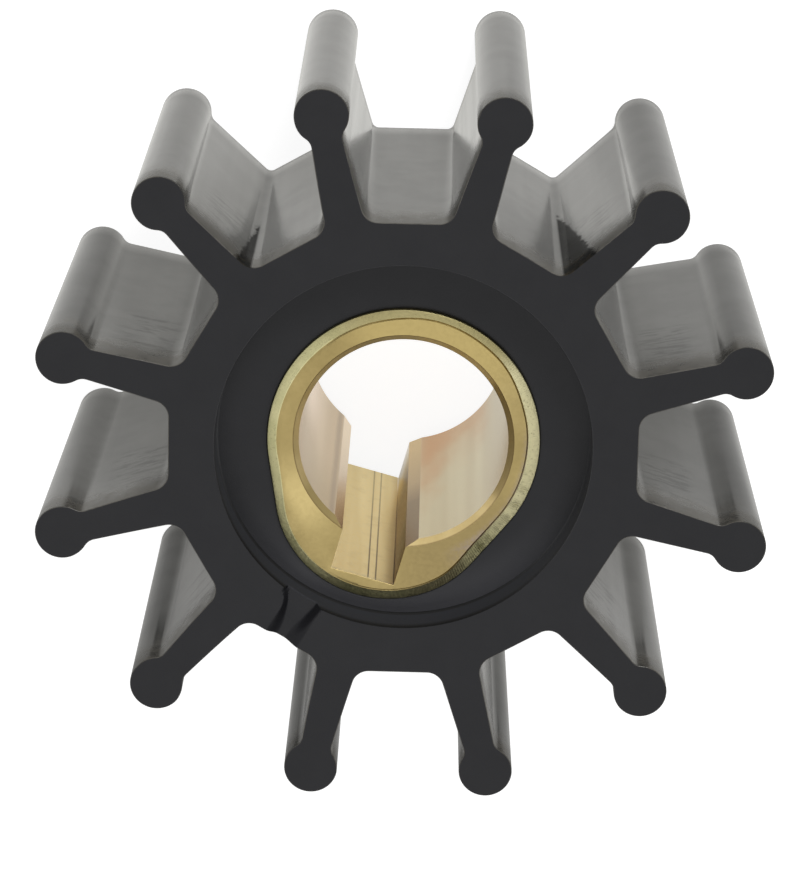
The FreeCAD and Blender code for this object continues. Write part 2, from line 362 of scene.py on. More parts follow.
def root_shadow(tree, at, uneven, vane, side, start, slope):
    """The dark, ragged wedge on one side of a vane's root: from height start up it grows by slope."""
    centre = math.degrees(wrap(vane * PITCH - DOWN))
    low, high = sorted((centre, centre + side * 5.6))
    wedge = difference_of(tree, product_of(tree, difference_of(tree, at.z, start), slope),
                          difference_of(tree, at.radius, HUB_FLAT + 0.6))
    ragged = product_of(tree, difference_of(tree, uneven, 0.5), 1.3)
    inside = spread_of(tree, sum_of(tree, wedge, ragged), -0.2, 0.26)
    return product_of(tree, inside, window_of(tree, at.turn, low, high, 0.4))


def side_gloss(tree, at, scuffed, dust_and_painted_light, worn, shadow):
    """How strongly the hub, the flanks and the beads reflect."""
    reach = spread_linear(tree, at.radius, HUB_FLAT, OUTER_RADIUS)
    gloss = ramp_of(tree, reach, (0.05, 0.28), (0.15, 0.5), (0.6, 0.5), (0.75, 0.2))
    low_beads = product_of(tree, window_of(tree, size_of(tree, at.turn), 38, 82, 8),
                           spread_of(tree, at.radius, 23.5, 25.0, 0.0, 0.3))
    blotch = noise_of(tree, EVEN, 0.3, 4.0, 0.6)
    return product_of(tree, sum_of(tree, gloss, low_beads), factor_of(tree, scuffed, 0.5),
                      spread_of(tree, blotch, 0.35, 0.65, 0.78, 1.0), factor_of(tree, dust_and_painted_light, 0.6),
                      factor_of(tree, worn, 0.8), factor_of(tree, shadow, 0.02))


def rubber_side_material():
    """The moulded sides: fine draw marks along the axis and a worn strip at the front, with a pale strip
    there of dust and painted light.
    """
    material, tree, shader = new_material("rubber_side")
    at = cylinder_of(tree)
    streak = noise_of(tree, DRAWN, 3.0, 3.0, 0.6)
    broad = noise_of(tree, DRAWN, 0.8, 2.0, 0.5)
    mottle = noise_of(tree, EVEN, 0.9, 4.0, 0.65)
    scuff = noise_of(tree, (0.35, 0.35, 1.4), 1.2, 4.0, 0.65)
    colour = ramp_of(tree, broad, (0.35, (0.010, 0.010, 0.0095)), (0.65, (0.017, 0.017, 0.016)))
    near_front = spread_of(tree, at.z, WIDTH - 7.0, WIDTH - 0.5)
    worn = product_of(tree, near_front, spread_of(tree, mottle, 0.44, 0.64))
    colour = mix_colour(tree, product_of(tree, worn, 0.5), colour, (0.050, 0.041, 0.028))
    scuffed = product_of(tree, window_of(tree, at.z, 19, 29, 2.0),
                         window_of(tree, at.radius, 18.5, 23.0, 1.5), spread_of(tree, scuff, 0.46, 0.60))
    shadow = math_of(tree, "MAXIMUM", root_shadow(tree, at, mottle, 2, 1, 14.0, 0.167),
                     root_shadow(tree, at, mottle, 5, -1, 19.0, 0.10))
    # dust and painted light: a pale, less glossy strip near the front that also lifts the dark reflection
    # of the next vane
    dust_and_painted_light = product_of(tree, spread_of(tree, at.z, WIDTH - 5.5, WIDTH - 1.0),
                      spread_of(tree, mottle, 0.3, 0.6, 0.5, 1.0),
                      spread_of(tree, at.radius, 23.0, 25.5, 1.0, 0.6), difference_of(tree, 1.0, shadow))
    colour = mix_colour(tree, dust_and_painted_light, colour, (0.098, 0.093, 0.082))
    gloss = side_gloss(tree, at, scuffed, dust_and_painted_light, worn, shadow)
    rough = sum_of(tree, spread_of(tree, broad, 0.3, 0.7, 0.14, 0.18), product_of(tree, dust_and_painted_light, 0.22))
    height = sum_of(tree, streak, product_of(tree, near_front, scuff, 0.3))
    tree.links.new(colour, shader.inputs["Base Color"])
    tree.links.new(rough, shader.inputs["Roughness"])
    tree.links.new(gloss, shader.inputs["Specular IOR Level"])
    tree.links.new(bump_of(tree, height, 0.12, 0.02), shader.inputs["Normal"])
    shader.inputs["Specular Tint"].default_value = (1.0, 0.99, 0.955, 1.0)
    shader.inputs["IOR"].default_value = 1.5
    return material


def brass_shader(name, colour_of, rough_low, rough_high, stretch=EVEN, grain=0.25, metallic=1.0):
    """A brass surface whose colour comes from colour_of(tree), with a fine grain."""
    material, tree, shader = new_material(name)
    fine = noise_of(tree, stretch, 5.0, 3.0, 0.65)
    shade = ramp_of(tree, fine, (0.3, 1.0 - 0.3 * grain), (0.7, 1.0))
    colour = mix_colour(tree, 1.0, colour_of(tree), shade, "MULTIPLY")
    tree.links.new(colour, shader.inputs["Base Color"])
    tree.links.new(spread_of(tree, fine, 0.3, 0.7, rough_low, rough_high), shader.inputs["Roughness"])
    if grain:
        tree.links.new(bump_of(tree, fine, grain, 0.02), shader.inputs["Normal"])
    shader.inputs["Metallic"].default_value = metallic
    return material


def face_colour(tree):
    """Gold of the turned face: brightest at the keyway's left, scraped to grey-pink at its right."""
    at = cylinder_of(tree)
    patch = noise_of(tree, EVEN, 0.25, 3.0, 0.55)
    colour = ramp_of(tree, patch, (0.32, (0.247, 0.19, 0.077)), (0.68, (0.316, 0.246, 0.105)))
    top = spread_of(tree, size_of(tree, at.turn), 125, 155)
    colour = mix_colour(tree, top, colour, (0.345, 0.268, 0.108))
    dull = window_of(tree, at.turn, 15, 75, 15)
    colour = mix_colour(tree, dull, colour, (0.235, 0.18, 0.078))
    bright = product_of(tree, window_of(tree, at.turn, -58, -30, 12), fall_of(tree, at.radius, 9.2, 10.6))
    colour = mix_colour(tree, bright, colour, (0.43, 0.34, 0.15))
    scratch = noise_of(tree, EVEN, 3.5, 4.0, 0.7)
    scraped = product_of(tree, window_of(tree, at.turn, 42, 108, 10),
                         spread_of(tree, at.radius, 8.9, 9.6),
                         spread_of(tree, scratch, 0.38, 0.54, 0.25, 1.0))
    return mix_colour(tree, scraped, colour, (0.235, 0.19, 0.145))


def chamfer_colour(tree):
    """Pale greenish gold with dark specks: brown opposite the keyway, dark at its right, then pale."""
    at = cylinder_of(tree)
    patch = noise_of(tree, EVEN, 0.5, 3.0, 0.6)
    colour = ramp_of(tree, patch, (0.3, (0.46, 0.44, 0.23)), (0.7, (0.56, 0.52, 0.29)))
    top = product_of(tree, spread_of(tree, size_of(tree, at.turn), 115, 150), 0.8)
    colour = mix_colour(tree, top, colour, (0.33, 0.28, 0.13))
    dark = product_of(tree, window_of(tree, at.turn, 18, 42, 8), 0.8)
    colour = mix_colour(tree, dark, colour, (0.22, 0.19, 0.11))
    pale = window_of(tree, at.turn, 60, 145, 10)
    colour = mix_colour(tree, pale, colour, (0.70, 0.65, 0.39))
    speck = noise_of(tree, EVEN, 4.5, 3.0, 0.7)
    return mix_colour(tree, spread_of(tree, speck, 0.58, 0.70, 0.0, 0.55), colour, (0.20, 0.17, 0.09))


def lip_colour(tree):
    """Gold of the bore's chamfer: painted shade in brown at the right, browner at the lower left, with a
    line at the face.
    """
    at = cylinder_of(tree)
    patch = noise_of(tree, EVEN, 0.6, 3.0, 0.55)
    colour = ramp_of(tree, patch, (0.32, (0.58, 0.44, 0.19)), (0.68, (0.68, 0.53, 0.25)))
    # painted shade: browner at the right
    colour = mix_colour(tree, window_of(tree, at.turn, 74, 140, 5), colour, (0.34, 0.25, 0.10))
    olive = product_of(tree, window_of(tree, at.turn, -50, -15, 7), 0.75)
    colour = mix_colour(tree, olive, colour, (0.34, 0.26, 0.10))
    outside = BORE_RADIUS + BORE_CHAMFER
    line = spread_of(tree, at.radius, outside - 0.11, outside - 0.02, 0.0, 0.7)
    return mix_colour(tree, line, colour, (0.24, 0.16, 0.06))


def bore_colour(tree):
    """Polished by the shaft: pinkish at the left, cream at the right, copper at the back by the keyway."""
    at = cylinder_of(tree)
    streak = noise_of(tree, DRAWN, 0.7, 1.0, 0.4)
    left = ramp_of(tree, streak, (0.35, (0.62, 0.465, 0.29)), (0.65, (0.70, 0.55, 0.36)))
    right = ramp_of(tree, streak, (0.35, (0.60, 0.52, 0.34)), (0.65, (0.67, 0.60, 0.41)))
    colour = mix_colour(tree, spread_of(tree, at.x, -1.5, 1.5), left, right)
    pale = product_of(tree, fall_of(tree, at.z, 8.0, 20.0), fall_of(tree, at.turn, -60.0, -35.0))
    colour = mix_colour(tree, pale, colour, (0.98, 0.79, 0.62))
    low_left = product_of(tree, spread_of(tree, at.z, 15.0, 27.0, 0.0, 0.85),
                          spread_of(tree, at.turn, -75.0, -45.0), fall_of(tree, at.turn, -30.0, -20.0))
    colour = mix_colour(tree, low_left, colour, (0.50, 0.37, 0.20))
    far_right = spread_of(tree, at.turn, 58.0, 80.0, 0.0, 0.7)
    colour = mix_colour(tree, far_right, colour, (0.54, 0.46, 0.31))
    by_facet = product_of(tree, window_of(tree, at.turn, -29.5, -25.5, 1.6), 0.6)
    colour = mix_colour(tree, by_facet, colour, (0.30, 0.20, 0.12))
    cloud = product_of(tree, noise_of(tree, (1, 1, 0.5), 0.6, 2.0, 0.5), 9.0)
    reach = sum_of(tree, sum_of(tree, at.z, cloud), spread_of(tree, at.turn, 25.0, 50.0, -9.0, 0.0))
    copper = product_of(tree, fall_of(tree, reach, 2.0, 21.0), window_of(tree, at.turn, 22.0, 72.0, 9.0))
    colour = mix_colour(tree, copper, colour, (0.59, 0.33, 0.145))
    return facet_colour(tree, at, colour)


def facet_colour(tree, at, colour):
    """The facets at the keyway's mouth: brown towards the front at the right, pale at the left."""
    share = spread_linear(tree, at.z, 0.0, WIDTH)
    tone = ramp_of(tree, share, (0.15, (0.64, 0.45, 0.20)), (0.45, (0.46, 0.32, 0.15)),
                   (0.6, (0.24, 0.155, 0.06)), (0.9, (0.20, 0.125, 0.045)))
    colour = mix_colour(tree, window_of(tree, at.turn, 15.0, 24.6, 0.3), colour, tone)
    tone = ramp_of(tree, share, (0.2, (0.93, 0.75, 0.53)), (0.8, (0.66, 0.50, 0.35)))
    return mix_colour(tree, window_of(tree, at.turn, -24.6, -15.0, 0.3), colour, tone)


def keyway_colour(tree):
    """Broached gold: two scored lines on the floor, a brown strip at its right, a crumbly front edge.

    The right wall is dark at the front and light at the back.
    """
    at = cylinder_of(tree)
    streak = noise_of(tree, (1, 1, 0.03), 1.0, 1.0, 0.4)
    colour = ramp_of(tree, streak, (0.35, (0.82, 0.65, 0.31)), (0.65, (0.91, 0.74, 0.38)))
    blot = noise_of(tree, EVEN, 0.7, 4.0, 0.6)
    colour = mix_colour(tree, spread_of(tree, blot, 0.5, 0.7, 0.0, 0.3), colour, (0.68, 0.52, 0.24))
    for line in KEYWAY_LINES:
        scored = window_of(tree, at.x, line - 0.05, line + 0.05, 0.05)
        depth = spread_of(tree, at.z, 4.0, FRONT, 0.55, 1.0)
        colour = mix_colour(tree, product_of(tree, scored, depth), colour, (0.10, 0.055, 0.02))
    colour = mix_colour(tree, spread_of(tree, at.x, 1.7, 2.4, 0.0, 0.2), colour, (0.46, 0.28, 0.13))
    wall = spread_of(tree, at.x, KEYWAY_HALF - 0.1, KEYWAY_HALF - 0.01)
    middle = product_of(tree, wall, spread_of(tree, at.z, 5.0, 13.0))
    colour = mix_colour(tree, middle, colour, (0.30, 0.20, 0.10))
    front = product_of(tree, wall, spread_of(tree, at.z, 17.0, 26.0))
    colour = mix_colour(tree, front, colour, (0.13, 0.08, 0.04))
    back = product_of(tree, wall, fall_of(tree, at.z, 3.0, 8.0))
    colour = mix_colour(tree, back, colour, (0.96, 0.90, 0.80))
    crumb = noise_of(tree, EVEN, 3.0, 4.0, 0.7)
    crumbly = product_of(tree, spread_of(tree, at.z, FRONT - 0.8, FRONT - 0.1),
                         spread_of(tree, at.radius, KEYWAY_FLOOR - 0.3, KEYWAY_FLOOR - 0.1),
                         spread_of(tree, crumb, 0.45, 0.55))
    return mix_colour(tree, crumbly, colour, (0.70, 0.58, 0.32))


# Rubber body

def vane_half(root_radius):
    """Points and outward normals of the vane's upper half, from the bead's tip to the pocket's middle."""
    half = PITCH / 2
    flat_normal = polar(1, half)
    bead = Vector((BEAD_CENTRE, 0))
    tilt = 0.0
    for _ in range(TILT_ROUNDS):
        normal = Vector((math.sin(tilt), math.cos(tilt)))
        root_y = ROOT_HALF + root_radius * normal.y
        root_x = (HUB_FLAT + root_radius - root_y * flat_normal.y) / flat_normal.x
        neck_y = TIP_HALF + NECK_RADIUS * normal.y
        neck_x = BEAD_CENTRE - math.sqrt((BEAD_RADIUS + NECK_RADIUS)**2 - neck_y**2)
        root = Vector((root_x, root_y))
        neck = Vector((neck_x, neck_y))
        flank_start = neck - normal * NECK_RADIUS
        flank_end = root - normal * root_radius
        tilt = math.atan2(flank_end.y - flank_start.y, flank_start.x - flank_end.x)

    path = []

    def arc(centre, radius, start, end, count, outward):
        for i in range(count):
            direction = polar(1, start + (end - start) * i / count)
            path.append((centre + direction * radius, direction * outward))

    def line(start, end, count, normal):
        for i in range(count):
            path.append((start.lerp(end, i / count), normal))

    to_neck = neck - bead
    contact = math.atan2(to_neck.y, to_neck.x)
    flank_down = math.atan2(-normal.y, -normal.x)
    arc(bead, BEAD_RADIUS, 0, contact, BEAD_STEPS, 1)
    arc(neck, NECK_RADIUS, contact - math.pi, flank_down, NECK_STEPS, -1)
    line(flank_start, flank_end, FLANK_STEPS, normal)
    arc(root, root_radius, flank_down, half - math.pi, ROOT_STEPS, -1)
    middle = polar(HUB_FLAT, half)
    line(root - flat_normal * root_radius, middle, HUB_STEPS, flat_normal)
    path.append((middle, flat_normal))
    return path


# The set that each vane has taken, at its bead: (sideways, outward) at the front end and at the back end
SETS = [
    ((-0.01, -0.03), (-0.06, -0.29)),
    ((-0.02, -0.13), (-0.25, -0.35)),
    ((-0.05, -0.12), (0.11, -0.35)),
    ((-0.15, -0.29), (-0.03, -0.12)),
    ((-0.29, -0.12), (-0.10, -0.37)),
    ((-0.18, -0.23), (-0.02, -0.40)),
    ((0.19, -0.07), (0.08, -0.32)),
    ((0.19, 0.14), (0.42, -0.24)),
    ((0.47, 0.07), (0.26, -0.24)),
    ((0.32, 0.0), (0.33, -0.10)),
    ((0.04, 0.05), (-0.19, -0.10)),
    ((-0.14, -0.13), (-0.24, -0.21)),
]


def bent(point, vane, z):
    """A point of vane's own frame, moved by the vane's set."""
    share = min(max(point.x - HUB_FLAT, 0.0) / (BEAD_CENTRE - HUB_FLAT), 1.0)
    front, back = (Vector(pair) for pair in SETS[vane])
    side, reach = back.lerp(front, z / WIDTH)
    return Vector((point.x + reach * share, point.y + side * share**1.5))


def outline_path(z):
    """All round the rubber at height z, anticlockwise: (point, normal, vane) in each vane's own frame."""
    half = vane_half(BACK_ROOT_RADIUS + (ROOT_RADIUS - BACK_ROOT_RADIUS) * z / WIDTH)
    mirrored = [(Vector((p.x, -p.y)), Vector((n.x, -n.y))) for p, n in reversed(half)]
    sector = mirrored[:-1] + half[:-1]
    return [(p, n, vane) for vane in range(VANES) for p, n in sector]


def groove_drop(x, y):
    """How far the front face falls at a point, for the relief groove."""
    along = x * math.cos(GROOVE_ANGLE) + y * math.sin(GROOVE_ANGLE)
    across = -x * math.sin(GROOVE_ANGLE) + y * math.cos(GROOVE_ANGLE)
    if along < RECESS_RADIUS - 1.5:
        return 0.0
    run = along - RECESS_RADIUS
    flare = math.exp(-max(run, 0.0) / FLARE_LENGTH)
    soft = 0.35 + 0.75 * smooth(0.3, GROOVE_END, run)
    left = GROOVE_LEFT + 0.75 * flare + 0.3 * soft
    right = GROOVE_RIGHT + 0.15 * flare + 0.2 * soft
    inside = smooth(-left, -left + soft, across) * (1 - smooth(right - 0.2 - soft, right, across))
    depth = GROOVE_DEPTH * (1 - 0.3 * smooth(0.5, GROOVE_END, run))
    return depth * inside


def lowered(point, z, foot):
    """Height of a wall point whose top edge follows the groove; below foot nothing moves."""
    if z <= foot:
        return z
    return z - groove_drop(point.x, point.y) * (z - foot) / (WIDTH - foot)


def add_ring(skin, points):
    """Adds a closed ring of points, and gives their numbers."""
    start = len(skin.verts)
    skin.verts.extend(points)
    return range(start, len(skin.verts))


def join_rings(skin, first, second, mark):
    """Faces between two rings of as many points."""
    for i in range(len(first)):
        j = (i + 1) % len(first)
        skin.faces.append((first[i], first[j], second[j], second[i]))
        skin.marks.append(mark)


def quarter_round(radius):
    """Points of a rounded edge, each as its distances from the two sides."""
    angles = [math.pi / 2 * i / ROUND_STEPS for i in range(ROUND_STEPS + 1)]
    return [(radius * (1 - math.cos(a)), radius * (1 - math.sin(a))) for a in angles]


def add_outer_wall(skin):
    """Hub, vanes and beads; gives the rings at the back rim and at the front rim."""
    rim = quarter_round(RIM_ROUND)
    low, high = RIM_ROUND, WIDTH - RIM_ROUND
    rows = rim[::-1]
    rows += [(0.0, low + (high - low) * i / WALL_STEPS) for i in range(1, WALL_STEPS)]
    rows += [(inset, WIDTH - depth) for inset, depth in rim]
    rings = []
    for inset, z in rows:
        points = []
        for point, normal, vane in outline_path(z):
            local = bent(point - normal * inset, vane, z)
            turned = Matrix.Rotation(vane * PITCH, 2) @ local
            points.append((turned.x, turned.y, lowered(turned, z, WIDTH - GROOVE_WALL)))
        rings.append(add_ring(skin, points))
    for lower, upper in zip(rings, rings[1:]):
        join_rings(skin, lower, upper, SIDE)
    return rings[0], rings[-1]


def recess_rows():
    """(kind, place, height) of each row, from the front rim through the seat's middle to the back rim."""
    rows = [("rim", inset, WIDTH - depth) for depth, inset in quarter_round(RIM_ROUND)]
    wall = RECESS_DEPTH - RIM_ROUND - RECESS_FOOT
    rows += [("rim", 0.0, RECESS_FLOOR + RECESS_FOOT + wall * share) for share in (0.75, 0.5, 0.25)]
    rows += [("rim", -inset, RECESS_FLOOR + height) for inset, height in quarter_round(RECESS_FOOT)]
    rows += [("floor", share, RECESS_FLOOR) for share in (0.7, 0.4, 0.15)]
    rows += [("seat", gap, RECESS_FLOOR - depth) for gap, depth in SEAT_EDGE]
    rows.append(("seat", 0.0, WIDTH / 2))
    return rows + [(kind, reach, WIDTH - z) for kind, reach, z in reversed(rows[:-1])]


def recess_point(kind, reach, z, angle):
    """A point of the inner wall. The recess lies off the axis, and the seat doesn't."""
    seat = lobed_radius(angle)
    if kind == "rim":
        radius, moved = RECESS_RADIUS + reach, 1.0
    elif kind == "floor":
        radius, moved = seat + (RECESS_RADIUS - RECESS_FOOT - seat) * reach, reach
    else:
        radius, moved = seat + reach, 0.0
    point = polar(radius, angle) + polar(RECESS_SHIFT * moved, PHOTO_UP)
    height = lowered(point, z, RECESS_FLOOR + RECESS_FOOT) if kind == "rim" else z
    return point.x, point.y, height


def add_inner_wall(skin):
    """Recesses and seat; gives the rings at the back rim and at the front rim."""
    angles = [math.radians(a) for a in range(360) if abs(a - GROOVE_DEGREES) > GROOVE_SPREAD]
    fine = GROOVE_SPREAD * GROOVE_FINENESS
    angles += [GROOVE_ANGLE + math.radians(i / GROOVE_FINENESS) for i in range(-fine, fine + 1)]
    angles.sort()
    rows = recess_rows()
    rings = [add_ring(skin, [recess_point(*row, angle) for angle in angles]) for row in rows]
    for k in range(len(rings) - 1):
        mark = WALL if rows[k][0] == rows[k + 1][0] == "rim" else END
        join_rings(skin, rings[k], rings[k + 1], mark)
    return rings[-1], rings[0]


def groove_grid():
    """Extra points of the front face, in and beside the relief groove."""
    points = []
    for row in range(1, GRID_ROWS + 1):
        along = polar(GRID_START + row * GRID_ALONG, GROOVE_ANGLE)
        for column in range(-GRID_SIDE, GRID_SIDE + 1):
            points.append(along + polar(column * GRID_ACROSS, GROOVE_ANGLE + math.pi / 2))
    return points


def front_normal(x, y):
    """Normal of the front face, which tilts in the relief groove."""
    step = SLOPE_STEP
    slope_x = (groove_drop(x + step, y) - groove_drop(x - step, y)) / (2 * step)
    slope_y = (groove_drop(x, y + step) - groove_drop(x, y - step)) / (2 * step)
    return Vector((slope_x, slope_y, 1)).normalized()


def add_end_face(skin, outer, inner, front):
    """Fills an end between the rims of the outer and the inner wall."""
    count, columns = len(outer), len(inner)
    ids = [*outer, *inner]
    flat = [Vector(skin.verts[i][:2]) for i in ids]
    edges = [(i, (i + 1) % count) for i in range(count)]
    edges += [(count + i, count + (i + 1) % columns) for i in range(columns)]
    if front:
        grid = groove_grid()
        flat += grid
        ids += add_ring(skin, [(p.x, p.y, WIDTH - groove_drop(p.x, p.y)) for p in grid])
    made, _, cells, origins, _, _ = geometry.delaunay_2d_cdt(flat, edges, [], 2, 1e-7)
    if len(made) != len(flat):
        raise ValueError("the end face gained or lost points")
    source = [origin[0] for origin in origins]
    for cell in cells:
        fills_recess = all(count <= source[i] < count + columns for i in cell)
        if not fills_recess:
            corners = [ids[source[i]] for i in cell]
            skin.faces.append(tuple(corners if front else reversed(corners)))
            skin.marks.append(END)
    for i in ids:
        skin.normals[i] = front_normal(*skin.verts[i][:2]) if front else Vector((0, 0, -1))


def make_rubber():
    skin = SimpleNamespace(verts=[], faces=[], marks=[], normals={})
    outer_back, outer_front = add_outer_wall(skin)
    inner_back, inner_front = add_inner_wall(skin)
    add_end_face(skin, outer_front, inner_front, True)
    add_end_face(skin, outer_back, inner_back, False)
    materials = [rubber_face_material(), rubber_side_material(), recess_wall_material()]
    build("rubber_body", skin.verts, skin.faces, materials, "rubber_impeller",
          skin.marks, skin.normals)


# Brass insert

def lobed_radius(angle):
    """Distance from the axis to the insert's outline."""
    off = abs(wrap(angle - DOWN))
    spread = math.acos((INSERT_RADIUS - LOBE_RADIUS) / LOBE_OFFSET)
    if off >= spread:
        return INSERT_RADIUS
    lobe_edge = math.atan2(LOBE_RADIUS * math.sin(spread), LOBE_OFFSET + LOBE_RADIUS * math.cos(spread))
    if off >= lobe_edge:
        return INSERT_RADIUS / math.cos(spread - off)
    along = LOBE_OFFSET * math.cos(off)
    return along + math.sqrt(LOBE_RADIUS**2 - (LOBE_OFFSET * math.sin(off))**2)


# Where the keyway's floor, wall and facet end, as angles from its middle
CORNERS = [
    math.atan2(KEYWAY_HALF, KEYWAY_FLOOR),
    math.atan2(KEYWAY_HALF, MOUTH_HEIGHT + KEYWAY_FACET),
    math.atan2(MOUTH, MOUTH_HEIGHT),
]
FLOOR_END, WALL_END, FACET_END = CORNERS


def bore_edge(angle):
    """Distance from the axis to the bore's or the keyway's wall."""
    off = abs(wrap(angle - DOWN))
    if off >= FACET_END:
        return BORE_RADIUS
    if off <= FLOOR_END:
        return KEYWAY_FLOOR / math.cos(off)
    if off <= WALL_END:
        return KEYWAY_HALF / math.sin(off)
    # the facet's line: x + y = MOUTH + MOUTH_HEIGHT
    return (MOUTH + MOUTH_HEIGHT) / (math.sin(off) + math.cos(off))


def table(*pairs):
    """A smooth loop through (degrees, value) pairs in rising order."""
    first, last = pairs[0], pairs[-1]
    loop = [(last[0] - 360, last[1]), *pairs, (first[0] + 360, first[1])]

    def look(angle):
        degrees = math.degrees(wrap(angle))
        for (a, va), (b, vb) in zip(loop, loop[1:]):
            if a <= degrees <= b:
                return va + (vb - va) * smooth(a, b, degrees)
        raise ValueError("the table leaves out an angle")

    return look


# Width of the outer edge's chamfer round the front face, by angle
chamfer_width = table((-165, 0.75), (-150, 0.8), (-120, 0.75), (-90, 0.85), (-60, 0.85), (-45, 1.05),
                      (-30, 0.98), (0, 0.98), (30, 0.9), (60, 0.62), (90, 0.55), (120, 0.72), (150, 0.8))

# Slope of the outer chamfer in degrees, by angle
chamfer_slope = table((-180, 15), (-135, 19), (-90, 26), (-50, 19), (0, 15), (90, 15))

# Depth of the line cut between the outer chamfer and the face, by angle
line_depth = table((-180, 0.0), (-110, 0.0), (-75, 0.03), (-45, 0.08), (-10, 0.03), (30, 0.04),
                   (60, 0.07), (100, 0.06), (130, 0.03), (150, 0.0))

# Height of the outer chamfer's turned ribs, by angle
rib_height = table((-180, 0.012), (-110, 0.012), (-75, 0.03), (-50, 0.055), (-15, 0.04), (20, 0.015),
                   (90, 0.004), (150, 0.008))


def rib_of(index, angle):
    """Height of the turned ribs at a column: none to full, with an uneven strength."""
    wave = 1 - abs(2 * (index % RIB_COLUMNS) / RIB_COLUMNS - 1)
    uneven = RIB_MEAN + RIB_SPREAD * noise.noise(Vector((angle * RIB_WAVES, 3.0, 0.0)))
    return rib_height(angle) * wave * uneven


def column_of(index, angle, front):
    """(radius, height, material) of one column, from the outer wall over the face to the bore's middle.

    At the hidden back end the chamfer is of even width, with no ribs and no line.
    """
    outline = lobed_radius(angle)
    hole = bore_edge(angle)
    width = chamfer_width(angle) if front else BACK_CHAMFER
    rib = rib_of(index, angle) if front else 0.0
    line = line_depth(angle) if front else 0.0
    slope = math.tan(math.radians(chamfer_slope(angle)))
    foot = FRONT - width * slope
    edge = outline - width
    lip = max(hole + EDGE_BREAK, BORE_RADIUS + BORE_CHAMFER)
    drop = lip - hole
    rows = [(outline, WIDTH / 2, CHAMFER), (outline, foot - FOOT_LOW, CHAMFER),
            (outline - EDGE_BREAK - rib, foot - FOOT_HIGH, CHAMFER)]
    for share, ribbed in ((0.15, 1.0), (0.5, 1.0), (0.8, 0.7)):
        height = FRONT - width * (1 - share) * slope - rib * ribbed
        rows.append((outline - width * share, height, CHAMFER))
    rows += [(edge + LINE_OUT, FRONT - LINE_LEVEL, FACE), (edge, FRONT - LINE_LEVEL - line, FACE),
             (edge - LINE_IN, FRONT, FACE)]
    rows += [(edge + (lip - edge) * share, FRONT, FACE) for share in (0.35, 0.7)]
    rows += [(lip, FRONT, LIP), ((lip + hole) / 2, FRONT - drop / 2, LIP)]
    span = FRONT - drop - WIDTH / 2
    return rows + [(hole, FRONT - drop - span * i / BORE_STEPS, BORE) for i in range(BORE_STEPS + 1)]


def column_angles():
    """Even steps all round, with a column moved onto each of the keyway's corners."""
    angles = [2 * math.pi * i / COLUMNS - math.pi for i in range(COLUMNS)]
    for corner in CORNERS:
        for side in (-1, 1):
            nearest = min(range(COLUMNS), key=lambda i: abs(wrap(angles[i] - DOWN - side * corner)))
            angles[nearest] = wrap(DOWN + side * corner)
    return sorted(angles)


def make_brass():
    verts, faces, marks = [], [], []
    angles = column_angles()
    columns = []
    for i, angle in enumerate(angles):
        # the back end runs from the bore's middle to the outer wall
        back = reversed(column_of(i, angle, False)[1:-1])
        columns.append(column_of(i, angle, True) + [(radius, WIDTH - z, mark) for radius, z, mark in back])
        verts += [(*polar(radius, angle), z) for radius, z, mark in columns[-1]]
    rows = len(columns[0])
    for i in range(COLUMNS):
        j = (i + 1) % COLUMNS
        middle = angles[i] + wrap(angles[j] - angles[i]) / 2
        keyed = abs(wrap(middle - DOWN)) < WALL_END
        for k in range(rows):
            m = (k + 1) % rows
            faces.append((i * rows + k, j * rows + k, j * rows + m, i * rows + m))
            mark = columns[i][k][2]
            marks.append({LIP: FACE, BORE: KEYWAY}.get(mark, mark) if keyed else mark)
    materials = [
        brass_shader("brass_face", face_colour, 0.34, 0.46),
        brass_shader("brass_chamfer", chamfer_colour, 0.38, 0.5, grain=0.4),
        brass_shader("brass_lip", lip_colour, 0.18, 0.24, grain=0.1, metallic=0.55),
        brass_shader("brass_bore", bore_colour, 0.25, 0.27, grain=0.0),
        brass_shader("brass_keyway", keyway_colour, 0.32, 0.42, stretch=(1, 1, 0.5), grain=0.15),
    ]
    build("brass_bush", verts, faces, materials, "brass_insert", marks, sharp=28)


# Floor, light and camera

FLOOR_REACH = 1.5
FLOOR_LEVEL = -0.05 * MM
UNDER_BORE = 0.72

# The solved camera: turns in degrees, and its place in units of CAMERA_UNIT
CAMERA_LENS = 157.97
CAMERA_SENSOR = 36
CAMERA_TURNS = (17.37, -0.790, -1.284)
CAMERA_UNIT = 26.3145
CAMERA_OFFSET = Vector((0.008741, -0.035324, -11.0075)) * CAMERA_UNIT


def direct_view(tree, path):
    """1 where the camera sees a surface itself, also through glass."""
    return math_of(tree, "MAXIMUM", path.outputs["Is Camera Ray"], path.outputs["Is Transmission Ray"])


def floor_glow(tree):
    """How light reflections see the floor, as a painted glow: lighter towards the top of the picture, and
    under the bore; the darker rest is painted shade.
    """
    at = cylinder_of(tree)
    upward = along_of(tree, at.x, at.y, PHOTO_UP)
    sideways = along_of(tree, at.x, at.y, PHOTO_RIGHT)
    right = spread_of(tree, sideways, 5.0, 12.0)
    low_right = product_of(tree, right, fall_of(tree, upward, -9.0, -3.0))
    high_right = product_of(tree, right, spread_of(tree, upward, 12.0, 18.0),
                            spread_of(tree, at.radius, 20.0, 23.0))
    # painted light and shade in the glow: lighter at the low right, darker at the high right
    glow = product_of(tree, spread_of(tree, upward, -34.0, 30.0, 0.31, 0.87),
                      spread_of(tree, sideways, 8.0, 24.0, 1.0, 0.88),
                      factor_of(tree, low_right, 1.3), factor_of(tree, high_right, 0.8))
    under = fall_of(tree, at.radius, 9.0, 13.0)
    return sum_of(tree, glow, product_of(tree, under, difference_of(tree, UNDER_BORE, glow)))


